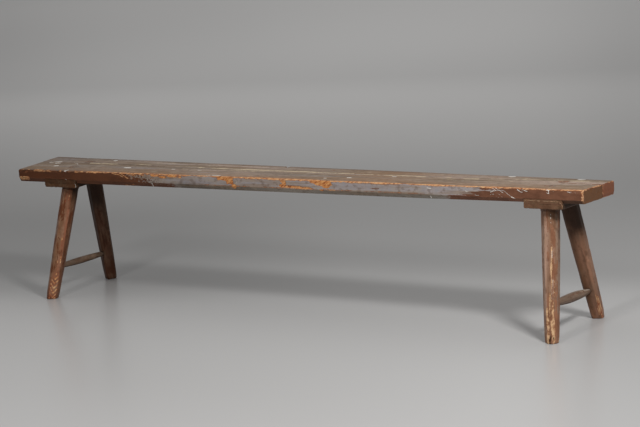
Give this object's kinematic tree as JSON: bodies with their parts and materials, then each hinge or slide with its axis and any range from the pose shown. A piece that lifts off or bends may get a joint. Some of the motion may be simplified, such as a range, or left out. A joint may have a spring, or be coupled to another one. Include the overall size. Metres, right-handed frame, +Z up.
{
  "type": "farmhouse bench",
  "caption": "Long low farmhouse bench: plank seat on housed battens, splayed hewn legs wedged up through the seat, and a whittled stretcher between each pair of legs.",
  "frame": {"origin": "on the floor, under the middle of the seat", "axes": "+X along the bench to the end with the short overhang, +Y to the back edge, +Z up"},
  "size_m": [2.185, 0.3778, 0.4541],
  "materials": {
    "seat_wood": "worn grey-blue over red-brown paint",
    "batten_wood": "worn brown paint",
    "leg_wood": "worn mauve-brown paint",
    "stretcher_wood": "worn grey-brown paint",
    "bare_wood": "bare aged pine",
    "wrought_iron": "dark forged"
  },
  "bodies": {
    "root": {"seat_board_front": "seat_wood", "seat_board_back": "seat_wood", "batten_left": "batten_wood", "batten_right": "batten_wood", "leg_front_left": "leg_wood", "leg_front_right": "leg_wood", "leg_back_left": "leg_wood", "leg_back_right": "leg_wood", "stretcher_left": "stretcher_wood", "stretcher_right": "stretcher_wood", "leg_wedge_front_left": "bare_wood", "leg_wedge_front_right": "bare_wood", "leg_wedge_back_left": "bare_wood", "leg_wedge_back_right": "bare_wood", "seat_dowels": "bare_wood", "batten_nails": "wrought_iron"}
  },
  "joints": []
}
